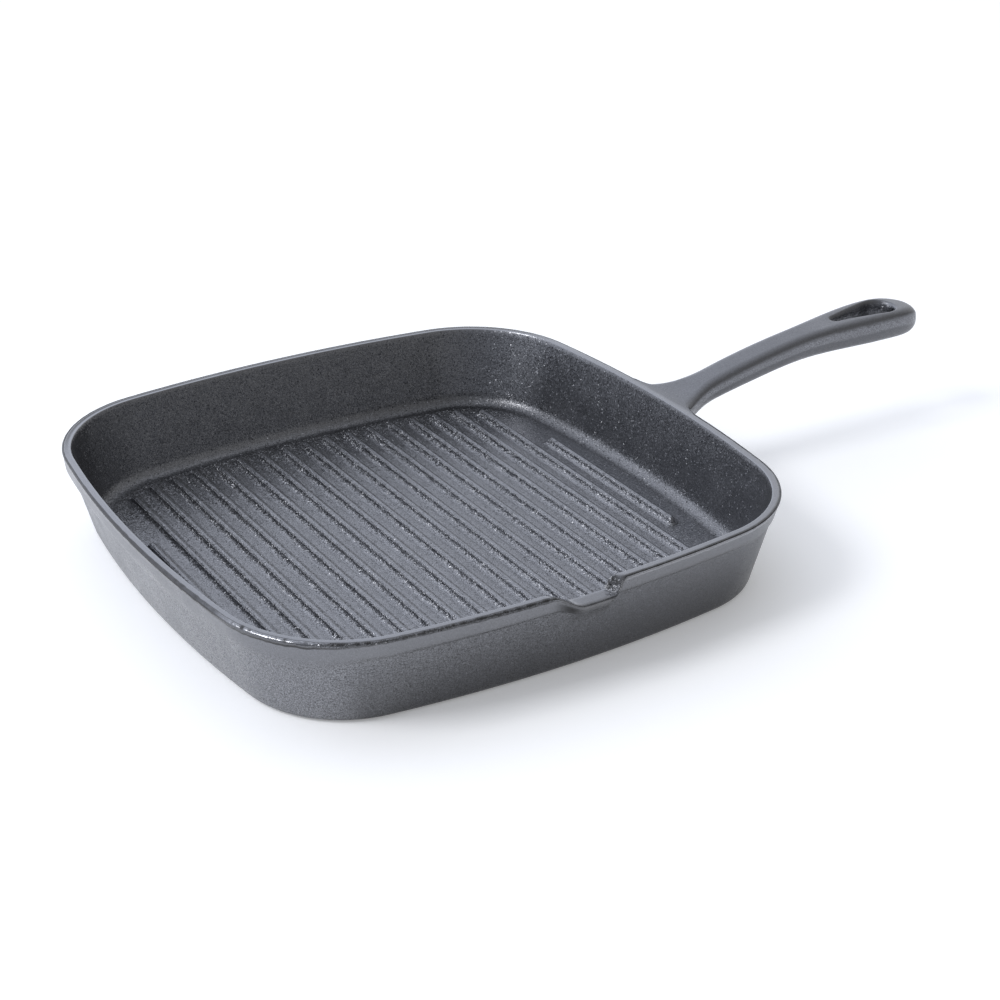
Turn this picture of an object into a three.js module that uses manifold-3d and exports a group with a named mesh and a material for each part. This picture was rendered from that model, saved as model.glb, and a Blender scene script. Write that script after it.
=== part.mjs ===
// Square cast-iron grill pan: ribbed floor, leaning walls, one pour spout, a long handle with a hanging eye.
// Millimetres, +Z up. The origin is the centre of the underside. The handle runs along +X, the spout faces -Y.
import * as THREE from 'three';
import { mergeVertices } from 'three/addons/utils/BufferGeometryUtils.js';
import Module from 'manifold-3d';

// Pan body
const rimHalfWidth = 130; // middle of the pan to the rim at the middle of a side
const baseHalfWidth = 118.8; // the same at the underside, before its edge is rounded
const sideBowRadius = 575; // every side bows outwards, seen from above
const cornerRadius = 55.6; // rim corner, seen from above
const panHeight = 40; // underside to rim
const rimWidth = 3.8; // level width of the rim, and of the wall below it
const floorThickness = 4.4;
const floorFillet = 4.5; // hollow corner between floor and wall
const baseRound = 4; // outer edge of the underside
const rimRound = 1.2; // outer edge of the rim
const rimInnerRound = 0.3; // inner edge of the rim
const bandHeight = 7; // smooth band round the outside, below the rim
const bandProud = 0.8; // how far that band stands out from the wall
const bandShoulder = 1.5; // height of the slope from the band back to the wall

// Pour spout, a dip in the rim whose lip bulges outwards
const spoutMiddle = 3.3; // middle of its floor, from the middle of the side towards the handle
const spoutFloorWidth = 13;
const spoutFreeFlank = 13.5; // flank away from the handle
const spoutHandleFlank = 9; // steeper flank towards the handle
const spoutDip = 5;
const spoutFall = 0.8; // its floor falls this much towards the lip
const spoutBulge = 3;
const spoutReach = 16; // height of wall below the rim that bends with it

// Grill ribs
const ribCount = 19;
const ribMargin = 12.67; // middle of an outermost rib to the edge of the flat floor
const ribHeight = 3;
const ribCrestWidth = 2.2;
const ribCrestRound = 0.6;
const ribDraft = 0.22; // run of a flank for each millimetre of rise
const ribFootFillet = 1.4;
const ribEndGap = 2.6; // rib end to the start of the floor fillet
const ribEndSlope = 2.5; // length over which an end comes down
const ribEndHeight = 0.7;
const shortRibLength = 101; // the first and the last rib stop short of the corners

// Handle
const handleLength = 146; // rim to tip
const handleRise = 17.9; // highest point of its top, above the rim
const crestRun = 124; // rim to that highest point
const riseRun = 6.4; // rim to where the rising arc would cut the level of the rim
const riseBlend = 7; // run before and after that point over which the top bends upwards
const rootFlare = 10.5; // extra half width where the handle meets the rim
const flareRun = 26; // run over which that flare dies out
const rootSeat = 6; // rim to the flat face where the handle meets the boss on the wall
const shankHalfWidth = 8;
const rootDepth = 10.8; // top to bottom, at the rim
const shankDepth = 12.2; // top to bottom, once clear of the root
const rootRun = 55; // rim to where the full depth is reached
const rootPartingDepth = 4.2; // top to the widest line of the section, at the root
const loopPartingDepth = 5.4; // the same at the loop
const loopHalfWidth = 12.2;
const loopDepth = 15;
const loopSwell = 54; // run over which the shank widens into the loop
const topEdgeRun = 4; // width of the rounded edge of the top
const loopBar = 4.8; // width of iron beside the eye
const endBar = 14.2; // width of iron between the eye and the tip
const eyeLength = 35.5;
const eyeNarrowRadius = 2.3;
const loopSeat = 6; // eye to the flat face where the loop meets the shank
const tipDrop = 9; // top to the level of the very tip

// Shares that shape the section of the handle
const edgeShare = 0.45; // the rounded edge takes at most this share of the half width
const bottomShare = 0.78; // width of the lower side against the widest line
const bottomRoundShare = 0.3; // height of the rounded lower edge against the depth
const tipFullness = 2.3; // 2 would end the handle in an ellipse, seen from above
const tipFall = 3; // the larger, the later the top comes down towards the tip

// Fineness of the facets
const cornerSteps = 5; // in half a corner
const sideSteps = 10;
const spoutSteps = 20;
const roundSteps = 3;
const filletSteps = 6;
const bossSteps = 4;
const shankSteps = 14;
const loopSteps = 8;
const tipSteps = 8;
const tipTurn = 0.48 * Math.PI; // how far round the tip the last section lies, short of a quarter turn
const eyeSegments = 12;
const hair = 1e-4; // a length too small to matter

const wasm = await Module();
wasm.setup();

function castIron() {
  return new THREE.MeshStandardMaterial({ color: '#4b4c50', roughness: 0.55, metalness: 0.6 });
}

function spread(from, to, steps) {
  return Array.from({ length: steps + 1 }, (_, i) => from + ((to - from) * i) / steps);
}

// Triangles over a flat outline. A point on a straight stretch is drawn in by a hair, so that none is passed over.
function flatTriangles(outline) {
  const corners = outline.map(([u, v]) => new THREE.Vector2(u, v));
  const outlineTurn = Math.sign(THREE.ShapeUtils.area(corners));
  const points = corners.map((corner, i) => {
    const before = corners.at(i - 1);
    const along = corners[(i + 1) % corners.length].clone().sub(before).normalize();
    const inward = new THREE.Vector2(-along.y, along.x).multiplyScalar(outlineTurn * hair);
    return Math.abs(along.cross(corner.clone().sub(before))) < hair ? corner.clone().add(inward) : corner;
  });
  return THREE.ShapeUtils.triangulateShape(points, []).map((triangle) => {
    const turn = Math.sign(THREE.ShapeUtils.area(triangle.map((i) => points[i])));
    return turn === outlineTurn ? triangle : [...triangle].reverse();
  });
}

function signedVolume(positions, index) {
  const corner = (i) => new THREE.Vector3().fromArray(positions, 3 * index[i]);
  let volume = 0;
  for (let i = 0; i < index.length; i += 3) {
    volume += corner(i).dot(corner(i + 1).cross(corner(i + 2))) / 6;
  }
  return volume;
}

function closedGeometry(positions, index) {
  const geometry = new THREE.BufferGeometry();
  const outward = signedVolume(positions, index) > 0 ? index : [...index].reverse();
  geometry.setAttribute('position', new THREE.Float32BufferAttribute(positions, 3));
  geometry.setIndex(outward);
  geometry.computeVertexNormals();
  return geometry;
}

// A skin over a row of equal rings of points, closed at both ends. An outline is an end ring in the flat.
function loft(rings, firstOutline, lastOutline) {
  const count = rings[0].length;
  const index = [];
  for (let ring = 0; ring + 1 < rings.length; ring += 1) {
    for (let j = 0; j < count; j += 1) {
      const a = ring * count + j;
      const b = ring * count + ((j + 1) % count);
      index.push(a, b, b + count, a, b + count, a + count);
    }
  }
  const last = (rings.length - 1) * count;
  for (const [a, b, c] of flatTriangles(firstOutline)) {
    index.push(c, b, a);
  }
  for (const [a, b, c] of flatTriangles(lastOutline)) {
    index.push(last + a, last + b, last + c);
  }
  return closedGeometry(rings.flat(2), index);
}

function toSolid(geometry) {
  const bare = geometry.clone();
  bare.deleteAttribute('normal');
  bare.deleteAttribute('uv');
  const merged = mergeVertices(bare);
  const vertProperties = new Float32Array(merged.attributes.position.array);
  const triVerts = new Uint32Array(merged.index.array);
  return new wasm.Manifold(new wasm.Mesh({ numProp: 3, vertProperties, triVerts }));
}

function fromSolid(solid) {
  const mesh = solid.getMesh();
  return closedGeometry(Array.from(mesh.vertProperties), Array.from(mesh.triVerts));
}

// Plan of the rim: four bowed sides joined by round corners. Offsets are measured square to the outline.
const bowCentre = sideBowRadius - rimHalfWidth;
const cornerReach = sideBowRadius - cornerRadius;
const cornerCentre = (Math.sqrt(2 * cornerReach ** 2 - bowCentre ** 2) - bowCentre) / 2;
const joinAngle = Math.atan2(cornerCentre + bowCentre, cornerCentre); // a side passes into a corner here

// Stations along the wall that faces +Y, from the middle of one corner to the middle of the next.
function wallStations(sideAngles) {
  const corner = (x, from, to) =>
    spread(from, to, cornerSteps).map((angle) => ({ x, y: cornerCentre, radius: cornerRadius, angle }));
  const side = sideAngles.map((angle) => ({ x: 0, y: -bowCentre, radius: sideBowRadius, angle }));
  const first = corner(cornerCentre, Math.PI / 4, joinAngle).slice(0, -1);
  const last = corner(-cornerCentre, Math.PI - joinAngle, 0.75 * Math.PI).slice(1);
  return [...first, ...side, ...last];
}

function stationPoint(station, offset) {
  const radius = station.radius + offset;
  return [station.x + radius * Math.cos(station.angle), station.y + radius * Math.sin(station.angle)];
}

// Quarter turns from the wall that faces +Y, by swapping, so that neighbours share their end points exactly.
const quarterTurns = {
  far: (x, y) => [x, y],
  left: (x, y) => [-y, x],
  spout: (x, y) => [-x, -y],
  handle: (x, y) => [y, -x],
};

// Share of the spout's full depth at a place along its side: 1 on its floor, 0 beyond its flanks.
function spoutShare(x) {
  const fromMiddle = x - spoutMiddle;
  const flank = fromMiddle < 0 ? spoutFreeFlank : spoutHandleFlank;
  const floorEnd = spoutFloorWidth / 2;
  return 1 - THREE.MathUtils.smoothstep(Math.abs(fromMiddle), floorEnd, floorEnd + flank);
}

const plainAngles = spread(joinAngle, Math.PI - joinAngle, sideSteps);
const spoutStart = spoutMiddle - spoutFloorWidth / 2 - spoutFreeFlank;
const spoutEnd = spoutMiddle + spoutFloorWidth / 2 + spoutHandleFlank;
const spoutAngles = spread(spoutStart, spoutEnd, spoutSteps).map((x) => Math.acos(-x / sideBowRadius));
const spoutSideAngles = [
  ...plainAngles.filter((angle) => angle < spoutAngles[0]),
  ...spoutAngles,
  ...plainAngles.filter((angle) => angle > spoutAngles[spoutSteps]),
];
const stationsOf = {
  far: wallStations(plainAngles),
  left: wallStations(plainAngles),
  spout: wallStations(spoutSideAngles),
  handle: wallStations(plainAngles),
};

// Section of the wall as [offset, height, outer], where outer is 1 on the outside and 0 on the inside.
const lean = (rimHalfWidth - bandProud - baseHalfWidth) / panHeight; // outward run per millimetre of height
const slant = Math.hypot(1, lean);
const wallTurn = Math.atan2(-lean, 1); // direction square to the leaning wall

function roundPoints(offset, height, radius, from, to, steps, outer) {
  return spread(from, to, steps).map((angle) => [
    offset + radius * Math.cos(angle),
    height + radius * Math.sin(angle),
    outer,
  ]);
}

const outerAt = (height) => -bandProud - lean * (panHeight - height);
const bandAt = (height) => -lean * (panHeight - height);
const innerAt = (height) => -rimWidth - lean * (panHeight - height);
const baseRoundCentre = outerAt(0) + baseRound * (lean - slant);
const floorEdge = innerAt(floorThickness) + floorFillet * (lean - slant); // where the flat floor ends
const bandFoot = panHeight - bandHeight;

const wallSection = [
  [floorEdge, 0, 0],
  ...roundPoints(baseRoundCentre, baseRound, baseRound, -Math.PI / 2, wallTurn, roundSteps, 1),
  [outerAt(panHeight - spoutReach), panHeight - spoutReach, 1],
  [outerAt(bandFoot - bandShoulder), bandFoot - bandShoulder, 1],
  [bandAt(bandFoot), bandFoot, 1],
  ...roundPoints(bandAt(panHeight) - rimRound, panHeight - rimRound, rimRound, 0, Math.PI / 2, roundSteps, 1),
  ...roundPoints(innerAt(panHeight) + rimInnerRound, panHeight - rimInnerRound, rimInnerRound,
    Math.PI / 2, Math.PI, roundSteps, 0),
  [innerAt(panHeight - spoutReach), panHeight - spoutReach, 0],
  ...roundPoints(floorEdge, floorThickness + floorFillet, floorFillet, wallTurn, -Math.PI / 2, filletSteps, 0),
];

function bentSection(share) {
  return wallSection.map(([offset, height, outer]) => {
    const rise = Math.max(0, 1 - (panHeight - height) / spoutReach);
    const dip = (spoutDip + spoutFall * outer) * rise;
    return [offset + share * spoutBulge * outer * rise ** 3, height - share * dip];
  });
}

function wallGeometry(side) {
  const turn = quarterTurns[side];
  const rings = stationsOf[side].map((station) => {
    const along = turn(...stationPoint(station, 0))[0];
    const share = side === 'spout' ? spoutShare(along) : 0;
    return bentSection(share).map(([offset, height]) => [...turn(...stationPoint(station, offset)), height]);
  });
  return loft(rings, wallSection, wallSection);
}

function basePlate() {
  const outline = ['far', 'left', 'spout', 'handle'].flatMap((side) =>
    stationsOf[side].slice(0, -1).map((station) => quarterTurns[side](...stationPoint(station, floorEdge))),
  );
  const shape = new THREE.Shape(outline.map(([x, y]) => new THREE.Vector2(x, y)));
  return new THREE.ExtrudeGeometry(shape, { depth: floorThickness, bevelEnabled: false });
}

// Half length of the flat floor, less the end gap, at a distance from the middle.
function ribRoom(x) {
  const inset = floorEdge - ribEndGap;
  const bow = sideBowRadius + inset;
  const corner = cornerRadius + inset;
  if (x < bow * Math.cos(joinAngle)) {
    return Math.sqrt(bow ** 2 - x ** 2) - bowCentre;
  }
  if (x < bow * Math.sin(joinAngle) - bowCentre) {
    return cornerCentre + Math.sqrt(corner ** 2 - (x - cornerCentre) ** 2);
  }
  return Math.sqrt(bow ** 2 - (x + bowCentre) ** 2);
}

const ribFlankFoot = ribCrestWidth / 2 + ribDraft * (ribHeight - ribFootFillet);
const ribFootHalf = ribFlankFoot + ribFootFillet;
const ribHalfSection = [
  [ribCrestWidth / 2 - ribCrestRound, ribHeight],
  [ribCrestWidth / 2 + ribDraft * ribCrestRound, ribHeight - ribCrestRound],
  [ribFlankFoot, ribFootFillet],
  [ribFootHalf, 0],
];
const ribSection = [...ribHalfSection, ...ribHalfSection.map(([x, z]) => [-x, z]).reverse()];

function ribGeometry(x, halfLength) {
  const lowered = ribSection.map(([u, v]) => [u, (v * ribEndHeight) / ribHeight]);
  const ring = (section, y) => section.map(([u, v]) => [x + u, y, floorThickness + v]);
  const shoulder = halfLength - ribEndSlope;
  const rings = [
    ring(lowered, -halfLength),
    ring(ribSection, -shoulder),
    ring(ribSection, shoulder),
    ring(lowered, halfLength),
  ];
  return loft(rings, lowered, lowered);
}

const outermostRib = rimHalfWidth + floorEdge - ribMargin;
const ribPlaces = spread(-outermostRib, outermostRib, ribCount - 1).map((x, i) => {
  const room = ribRoom(Math.abs(x) + ribFootHalf);
  const isOutermost = i === 0 || i === ribCount - 1;
  return { x, halfLength: isOutermost ? Math.min(room, shortRibLength / 2) : room };
});

// Handle, set out along X
const handleTip = rimHalfWidth + handleLength;
const crestX = rimHalfWidth + crestRun;
const riseX = rimHalfWidth + riseRun;
const seatX = rimHalfWidth + rootSeat;
const eyeWideRadius = loopHalfWidth - loopBar;
const eyeEnd = handleTip - endBar;
const eyeWideX = eyeEnd - eyeWideRadius;
const eyeNarrowX = eyeEnd - eyeLength + eyeNarrowRadius;
const loopX = eyeEnd - eyeLength - loopSeat;

function archHeight(x) {
  return panHeight + handleRise * (1 - ((crestX - x) / (crestX - riseX)) ** 2);
}

function topHeight(x) {
  const t = THREE.MathUtils.clamp((x - riseX + riseBlend) / (2 * riseBlend), 0, 1);
  if (t === 1) {
    return archHeight(x);
  }
  const endX = riseX + riseBlend;
  const climb = archHeight(endX) - panHeight;
  const slope = (2 * handleRise * (crestX - endX)) / (crestX - riseX) ** 2;
  return panHeight + climb * (3 * t ** 2 - 2 * t ** 3) + 2 * riseBlend * slope * (t ** 3 - t ** 2);
}

function halfWidthAt(x) {
  if (x > eyeWideX) {
    const e = (x - eyeWideX) / (handleTip - eyeWideX);
    return loopHalfWidth * (1 - e ** tipFullness) ** (1 / tipFullness);
  }
  const swell = THREE.MathUtils.smoothstep(x, eyeWideX - loopSwell, eyeWideX);
  const flare = rootFlare * Math.max(0, 1 - (x - rimHalfWidth) / flareRun) ** 2;
  return shankHalfWidth + (loopHalfWidth - shankHalfWidth) * swell + flare;
}

// Section of the handle as [y, z] points, from the top edge round to the bottom on both sides.
function handleSection(x) {
  const along = THREE.MathUtils.clamp((x - rimHalfWidth) / crestRun, 0, 1);
  const swell = THREE.MathUtils.smoothstep(x, eyeWideX - loopSwell, eyeWideX);
  const tipShare = Math.max(0, (x - eyeWideX) / (handleTip - eyeWideX));
  const thickness = Math.sqrt(1 - tipShare ** tipFall);
  const width = halfWidthAt(x);
  const rooted = THREE.MathUtils.smoothstep(x, rimHalfWidth, rimHalfWidth + rootRun);
  const depth = THREE.MathUtils.lerp(rootDepth, shankDepth, rooted) + (loopDepth - shankDepth) * swell;
  const parting = THREE.MathUtils.lerp(rootPartingDepth, loopPartingDepth, along);
  const above = parting * thickness;
  const below = (depth - parting) * thickness;
  const partingZ = topHeight(x) - tipDrop + (tipDrop - parting) * thickness;
  const edge = Math.min(topEdgeRun, edgeShare * width);
  const lower = bottomShare * width;
  const lowerRound = edgeShare * width;
  const lowerRise = bottomRoundShare * below;
  const half = [
    ...spread(0, Math.PI / 2, roundSteps).map((a) => [
      width - edge + edge * Math.sin(a),
      partingZ + above * Math.cos(a),
    ]),
    ...spread(0, Math.PI / 2, roundSteps).map((a) => [
      lower - lowerRound + lowerRound * Math.cos(a),
      partingZ - below + lowerRise - lowerRise * Math.sin(a),
    ]),
  ];
  return [...half, ...half.map(([y, z]) => [-y, z]).reverse()];
}

function handleLoft(places) {
  const sections = places.map(handleSection);
  const rings = sections.map((section, i) => section.map(([y, z]) => [places[i], y, z]));
  return loft(rings, sections[0], sections[sections.length - 1]);
}

// The boss starts inside the wall, along its middle, and ends in the flat face that the handle sits on.
function handleWall() {
  const places = spread(rimHalfWidth, seatX, bossSteps);
  const sections = [rimHalfWidth, ...places].map(handleSection);
  const middleOfWall = (z) => rimHalfWidth + (outerAt(z) + innerAt(z)) / 2;
  const rings = sections.map((section, i) =>
    section.map(([y, z]) => [i === 0 ? middleOfWall(z) : places[i - 1], y, z]),
  );
  const boss = loft(rings, sections[0], sections[sections.length - 1]);
  return fromSolid(toSolid(wallGeometry('handle')).add(toSolid(boss)));
}

function eyeCutter() {
  const tangent = Math.acos((eyeWideRadius - eyeNarrowRadius) / (eyeWideX - eyeNarrowX));
  const shape = new THREE.Shape();
  shape.absarc(eyeWideX, 0, eyeWideRadius, tangent - Math.PI, Math.PI - tangent, false);
  shape.absarc(eyeNarrowX, 0, eyeNarrowRadius, Math.PI - tangent, Math.PI + tangent, false);
  shape.closePath();
  const depth = 2 * (panHeight + handleRise);
  return new THREE.ExtrudeGeometry(shape, { depth, bevelEnabled: false, curveSegments: eyeSegments });
}

function hangingLoop() {
  const tipReach = handleTip - eyeWideX;
  const places = [
    ...spread(loopX, eyeWideX, loopSteps),
    ...spread(0, tipTurn, tipSteps).slice(1).map((angle) => eyeWideX + tipReach * Math.sin(angle)),
  ];
  return fromSolid(toSolid(handleLoft(places)).subtract(toSolid(eyeCutter())));
}

const pan = new THREE.Group();

function addSection(name, geometry) {
  const mesh = new THREE.Mesh(geometry, castIron());
  mesh.name = name;
  pan.add(mesh);
}

addSection('base_plate', basePlate());
addSection('wall_left', wallGeometry('left'));
addSection('wall_far', wallGeometry('far'));
addSection('wall_handle', handleWall());
addSection('wall_spout', wallGeometry('spout'));
addSection('handle', handleLoft(spread(seatX, loopX, shankSteps)));
addSection('hanging_loop', hangingLoop());
ribPlaces.forEach(({ x, halfLength }, i) => {
  addSection(`rib_${String(i + 1).padStart(2, '0')}`, ribGeometry(x, halfLength));
});

export default pan;
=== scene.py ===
import math

import bmesh
import bpy
import numpy as np
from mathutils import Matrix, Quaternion, Vector, noise


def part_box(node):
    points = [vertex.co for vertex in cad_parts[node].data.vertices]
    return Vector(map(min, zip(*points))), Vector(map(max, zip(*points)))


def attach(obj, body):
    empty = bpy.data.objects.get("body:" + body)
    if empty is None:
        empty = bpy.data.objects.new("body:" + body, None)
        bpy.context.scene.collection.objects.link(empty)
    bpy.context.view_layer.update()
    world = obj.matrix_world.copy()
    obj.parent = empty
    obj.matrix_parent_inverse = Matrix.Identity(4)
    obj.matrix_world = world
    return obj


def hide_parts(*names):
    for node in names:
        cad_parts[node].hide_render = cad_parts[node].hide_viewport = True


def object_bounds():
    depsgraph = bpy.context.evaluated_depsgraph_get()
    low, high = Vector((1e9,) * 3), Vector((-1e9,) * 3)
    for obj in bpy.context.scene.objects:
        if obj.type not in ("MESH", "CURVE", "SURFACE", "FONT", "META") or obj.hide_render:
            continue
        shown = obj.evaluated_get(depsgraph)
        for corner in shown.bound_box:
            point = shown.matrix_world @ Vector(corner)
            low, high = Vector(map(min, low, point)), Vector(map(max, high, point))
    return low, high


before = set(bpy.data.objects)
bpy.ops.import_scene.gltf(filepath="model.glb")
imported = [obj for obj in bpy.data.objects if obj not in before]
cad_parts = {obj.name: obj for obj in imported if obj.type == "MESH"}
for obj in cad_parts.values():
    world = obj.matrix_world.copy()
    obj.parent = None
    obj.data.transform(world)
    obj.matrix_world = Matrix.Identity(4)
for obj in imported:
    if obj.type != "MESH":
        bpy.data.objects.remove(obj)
cadLow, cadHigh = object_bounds()
mm = 0.001  # shapes are worked out in millimetres and turned to metres when a mesh is made

# Square grill pan, one iron casting: body, spout and handle are one skin, and 19 ribs stand on its floor.
rimHalf = -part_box("wall_left")[0].x / mm
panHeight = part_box("wall_left")[1].z / mm
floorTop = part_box("base_plate")[1].z / mm
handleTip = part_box("hanging_loop")[1].x / mm
handleCrest = cadHigh.z / mm

# What the iron reads at every point: how far it was ground, how sandy it is, and what black scale it kept.
# The ground mark also carries painted light, and the scale mark painted shade.
markNames = "groundAndLight", "grit", "scaleAndShade"


def smoothstep(value, low, high):
    t = np.clip((np.asarray(value, float) - low) / (high - low), 0, 1)
    return t * t * (3 - 2 * t)


def mix(a, b, share):
    return a + (b - a) * share


def unit(vectors):
    return vectors / np.linalg.norm(vectors, axis=-1, keepdims=True)


def grain(points, size, seed):
    # lumpy noise from -1 to 1 at each point, with lumps about this many millimetres across
    shift = Vector((31.7 * seed, 17.3 * seed, 7.9 * seed))
    return np.array([noise.noise(Vector(p) / size + shift) for p in points])


def linear(code):
    channels = [int(code[i:i + 2], 16) / 255 for i in (1, 3, 5)]
    return [c / 12.92 if c <= 0.04045 else ((c + 0.055) / 1.055) ** 2.4 for c in channels] + [1]


def addNode(tree, kind, inputs=None, **settings):
    made = tree.nodes.new(kind)
    for name, value in settings.items():
        setattr(made, name, value)
    for name, value in (inputs or {}).items():
        if isinstance(value, bpy.types.NodeSocket):
            tree.links.new(value, made.inputs[name])
        else:
            made.inputs[name].default_value = value
    return made.outputs


def addPiece(name, points, faces, marks, material):
    mesh = bpy.data.meshes.new(name)
    mesh.from_pydata((np.asarray(points) * mm).tolist(), [], faces)
    for markName, values in zip(markNames, np.array(marks, np.float32).T):
        mark = mesh.attributes.new(markName, "FLOAT", "POINT")
        mark.data.foreach_set("value", np.ascontiguousarray(values))
    work = bmesh.new()
    work.from_mesh(mesh)
    bmesh.ops.recalc_face_normals(work, faces=work.faces)
    work.to_mesh(mesh)
    work.free()
    mesh.polygons.foreach_set("use_smooth", [True] * len(mesh.polygons))
    mesh.materials.append(material)
    piece = bpy.data.objects.new(name, mesh)
    bpy.context.scene.collection.objects.link(piece)
    return piece


# Seasoned grey iron, sand-cast: a dark satin metal whose sand grains each catch the light on their own.
# Where the casting was ground, on the rim, it is smoother and lighter; black scale stays in its edges. The
# lighter colour also serves as painted light on walls and edge strips, and the black as painted shade on
# walls, fillets and hollows.
sandCastIron = {
    "skinColour": "#7c7d81", "groundAndLightColour": "#a6a7ab", "scaleAndShadeColour": "#464647",
    "skinRoughness": 0.36, "groundRoughness": 0.20, "smoothFrom": 0.25, "roughnessPatches": 0.10,
    "grainSize": 0.5, "grainTilt": 0.22,  # mm, and how far a grain leans
    "sparkle": 1.0, "sparkleRare": 6,  # how much more a few grains lean, and how rare they are
    "sandSize": 0.5, "sandDetail": 2, "sandHeight": 0.08,  # mm, lumps of the skin
    "swellSize": 14, "swellDetail": 1, "swellHeight": 0.10,  # mm, slow unevenness of the mould
    "noiseRoughness": 0.55, "speckFrom": 0.3, "speckTo": 0.7, "speckShade": 0.4,
}


def makeIron(name, settings):
    material = bpy.data.materials.new(name)
    material.use_nodes = True
    tree = material.node_tree
    tree.nodes.clear()
    place = addNode(tree, "ShaderNodeTexCoord")["Object"]
    groundAndLight, grit, scaleAndShade = [
        addNode(tree, "ShaderNodeAttribute", attribute_name=mark)["Fac"] for mark in markNames]

    # lumps of sand on slow swells
    sand = addNode(tree, "ShaderNodeTexNoise", {
        "Vector": place, "Scale": 1 / (settings["sandSize"] * mm),
        "Detail": settings["sandDetail"], "Roughness": settings["noiseRoughness"]})["Fac"]
    swell = addNode(tree, "ShaderNodeTexNoise", {
        "Vector": place, "Scale": 1 / (settings["swellSize"] * mm),
        "Detail": settings["swellDetail"], "Roughness": settings["noiseRoughness"]})["Fac"]
    lumps = addNode(tree, "ShaderNodeMath", {0: sand, 1: grit}, operation="MULTIPLY")[0]
    lumps = addNode(tree, "ShaderNodeMath", {0: lumps, 1: settings["sandHeight"]}, operation="MULTIPLY")[0]
    relief = addNode(tree, "ShaderNodeMath", {
        0: swell, 1: settings["swellHeight"], 2: lumps}, operation="MULTIPLY_ADD")[0]
    bump = addNode(tree, "ShaderNodeBump", {"Height": relief, "Strength": 1, "Distance": mm})["Normal"]

    # each grain leans its own way, a few of them much more
    grains = addNode(tree, "ShaderNodeTexVoronoi", {
        "Vector": place, "Scale": 1 / (settings["grainSize"] * mm)})
    leaning = addNode(tree, "ShaderNodeVectorMath", {
        0: grains["Color"], 1: (0.5, 0.5, 0.5)}, operation="SUBTRACT")[0]
    rare = addNode(tree, "ShaderNodeTexWhiteNoise", {"Vector": grains["Position"]})["Value"]
    rare = addNode(tree, "ShaderNodeMath", {0: rare, 1: settings["sparkleRare"]}, operation="POWER")[0]
    tilt = addNode(tree, "ShaderNodeMath", {
        0: rare, 1: settings["sparkle"], 2: settings["grainTilt"]}, operation="MULTIPLY_ADD")[0]
    tilt = addNode(tree, "ShaderNodeMath", {0: grit, 1: tilt}, operation="MULTIPLY")[0]
    leaning = addNode(tree, "ShaderNodeVectorMath", {0: leaning, "Scale": tilt}, operation="SCALE")[0]
    normal = addNode(tree, "ShaderNodeVectorMath", {0: bump, 1: leaning}, operation="ADD")[0]
    normal = addNode(tree, "ShaderNodeVectorMath", {0: normal}, operation="NORMALIZE")[0]

    # ground places are smoother
    satin = addNode(tree, "ShaderNodeMapRange", {
        "Value": groundAndLight, "From Max": settings["smoothFrom"],
        "To Min": settings["skinRoughness"], "To Max": settings["groundRoughness"]})[0]
    patches = addNode(tree, "ShaderNodeMapRange", {
        "Value": swell, "To Min": -settings["roughnessPatches"], "To Max": settings["roughnessPatches"]})[0]
    roughness = addNode(tree, "ShaderNodeMath", {0: satin, 1: patches}, operation="ADD")[0]

    # bare iron, specked by its sand and lighter where ground or given painted light, under what is left of
    # the scale and the painted shade
    bare = addNode(tree, "ShaderNodeMix", {
        0: groundAndLight, 6: linear(settings["skinColour"]),
        7: linear(settings["groundAndLightColour"])}, data_type="RGBA")[2]
    shade = addNode(tree, "ShaderNodeMapRange", {
        "Value": sand, "From Min": settings["speckFrom"], "From Max": settings["speckTo"],
        "To Min": settings["speckShade"], "To Max": 2 - settings["speckShade"]})[0]
    specked = addNode(tree, "ShaderNodeVectorMath", {0: bare, 1: shade}, operation="MULTIPLY")[0]
    specked = addNode(tree, "ShaderNodeMix", {0: grit, 6: bare, 7: specked}, data_type="RGBA")[2]
    colour = addNode(tree, "ShaderNodeMix", {
        0: scaleAndShade, 6: specked, 7: linear(settings["scaleAndShadeColour"])}, data_type="RGBA")[2]

    shader = addNode(tree, "ShaderNodeBsdfPrincipled", {
        "Base Color": colour, "Metallic": 1.0, "Roughness": roughness, "Normal": normal})[0]
    addNode(tree, "ShaderNodeOutputMaterial", {"Surface": shader})
    return material


iron = makeIron("sandCastSeasonedIron", sandCastIron)
print("material:", iron.name)

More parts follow.
